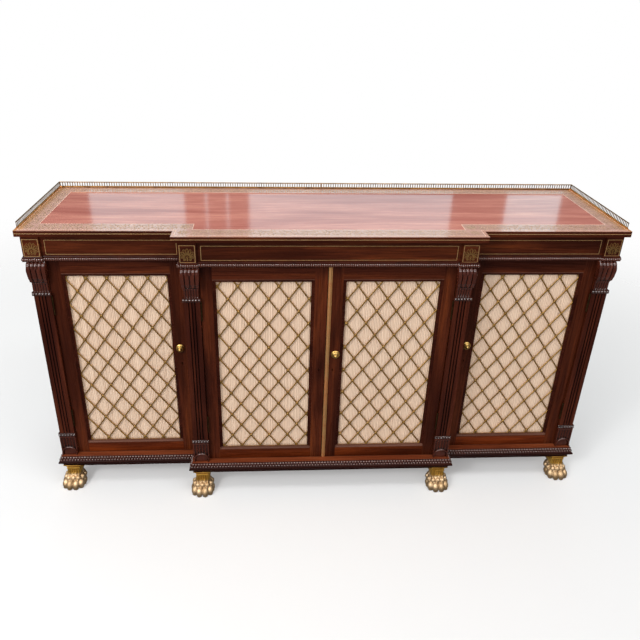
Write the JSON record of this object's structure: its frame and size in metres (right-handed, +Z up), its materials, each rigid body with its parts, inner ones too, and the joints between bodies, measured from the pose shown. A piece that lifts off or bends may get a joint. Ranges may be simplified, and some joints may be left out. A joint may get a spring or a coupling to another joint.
{
  "type": "break-front side cabinet",
  "caption": "Break-front side cabinet with grille doors over pleated silk, a pierced brass gallery, pilasters with consoles, and lion-paw feet.",
  "frame": {"origin": "centre of the bounding box's floor plan, on the floor", "axes": "+Z up, front towards -Y, +X to the viewer's right, +X along the cabinet's length"},
  "size_m": [1.743, 0.453, 0.95],
  "materials": {
    "mahogany_top": "french polished, straight grain",
    "boulle_border": "polished, inlaid with foliage",
    "rosewood": "french polished",
    "mahogany": "waxed",
    "carcass_wood": "plain, unpolished",
    "brass": "aged, lacquered",
    "brass_inlay": "flush, polished",
    "gilt_brass": "gilt, slightly worn",
    "steel": "bright, handled",
    "silk": "fine vertical pleats"
  },
  "bodies": {
    "carcass": {"back_feet": "mahogany", "back_panels": "carcass_wood", "bead_moulding": "rosewood", "block_palmettes": "brass_inlay", "collars": "rosewood", "console_heads": "rosewood", "corner_posts": "rosewood", "door_stops": "carcass_wood", "floor_boards": "carcass_wood", "frieze_blocks": "rosewood", "frieze_boards": "rosewood", "frieze_stringing": "brass_inlay", "gallery_base": "brass", "gallery_rail": "brass", "gallery_sheet": "brass", "hinge_pins": "brass", "hinge_plates": "brass", "paw_feet": "gilt_brass", "pilaster_bases": "rosewood", "pilaster_shafts": "rosewood", "plinth_moulding": "rosewood", "plinth_rails": "carcass_wood", "shelf_pegs": "mahogany", "shelves": "carcass_wood", "top_board": "mahogany_top", "top_border": "boulle_border", "top_stringing": "brass_inlay", "uprights": "rosewood"},
    "left_centre_door": {"left_centre_beading": "rosewood", "left_centre_frame": "rosewood", "left_centre_grille": "gilt_brass", "left_centre_hinge_leaves": "brass", "left_centre_silk": "silk"},
    "left_centre_lower_bolt_body": {"left_centre_lower_bolt": "steel"},
    "left_centre_upper_bolt_body": {"left_centre_upper_bolt": "steel"},
    "left_wing_door": {"left_wing_beading": "rosewood", "left_wing_frame": "rosewood", "left_wing_grille": "gilt_brass", "left_wing_hinge_leaves": "brass", "left_wing_knob": "gilt_brass", "left_wing_lock": "brass", "left_wing_silk": "silk"},
    "left_wing_lock_bolt_body": {"left_wing_lock_bolt": "steel"},
    "right_centre_door": {"right_centre_astragal": "brass", "right_centre_beading": "rosewood", "right_centre_frame": "rosewood", "right_centre_grille": "gilt_brass", "right_centre_hinge_leaves": "brass", "right_centre_knob": "gilt_brass", "right_centre_lock": "brass", "right_centre_silk": "silk"},
    "right_centre_lock_bolt_body": {"right_centre_lock_bolt": "steel"},
    "right_wing_door": {"right_wing_beading": "rosewood", "right_wing_frame": "rosewood", "right_wing_grille": "gilt_brass", "right_wing_hinge_leaves": "brass", "right_wing_knob": "gilt_brass", "right_wing_lock": "brass", "right_wing_silk": "silk"},
    "right_wing_lock_bolt_body": {"right_wing_lock_bolt": "steel"}
  },
  "joints": [
    {"name": "left_wing_hinge", "type": "hinge", "parent": "carcass", "child": "left_wing_door", "pos_m": [-0.8053, -0.1401, 0.47725], "axis": [0, 0, -1], "range_deg": [0, 100]},
    {"name": "left_centre_hinge", "type": "hinge", "parent": "carcass", "child": "left_centre_door", "pos_m": [-0.3693, -0.1821, 0.47725], "axis": [0, 0, -1], "range_deg": [0, 100]},
    {"name": "right_centre_hinge", "type": "hinge", "parent": "carcass", "child": "right_centre_door", "pos_m": [0.3693, -0.1821, 0.47725], "axis": [0, 0, 1], "range_deg": [0, 100]},
    {"name": "right_wing_hinge", "type": "hinge", "parent": "carcass", "child": "right_wing_door", "pos_m": [0.8053, -0.1401, 0.47725], "axis": [0, 0, 1], "range_deg": [0, 100]},
    {"name": "left_wing_lock_slide", "type": "slide", "parent": "left_wing_door", "child": "left_wing_lock_bolt_body", "axis": [1, 0, 0], "range_m": [0, 0.008]},
    {"name": "right_centre_lock_slide", "type": "slide", "parent": "right_centre_door", "child": "right_centre_lock_bolt_body", "axis": [-1, 0, 0], "range_m": [0, 0.008]},
    {"name": "right_wing_lock_slide", "type": "slide", "parent": "right_wing_door", "child": "right_wing_lock_bolt_body", "axis": [-1, 0, 0], "range_m": [0, 0.008]},
    {"name": "left_centre_upper_slide", "type": "slide", "parent": "left_centre_door", "child": "left_centre_upper_bolt_body", "axis": [0, 0, 1], "range_m": [0, 0.009]},
    {"name": "left_centre_lower_slide", "type": "slide", "parent": "left_centre_door", "child": "left_centre_lower_bolt_body", "axis": [0, 0, -1], "range_m": [0, 0.009]}
  ]
}
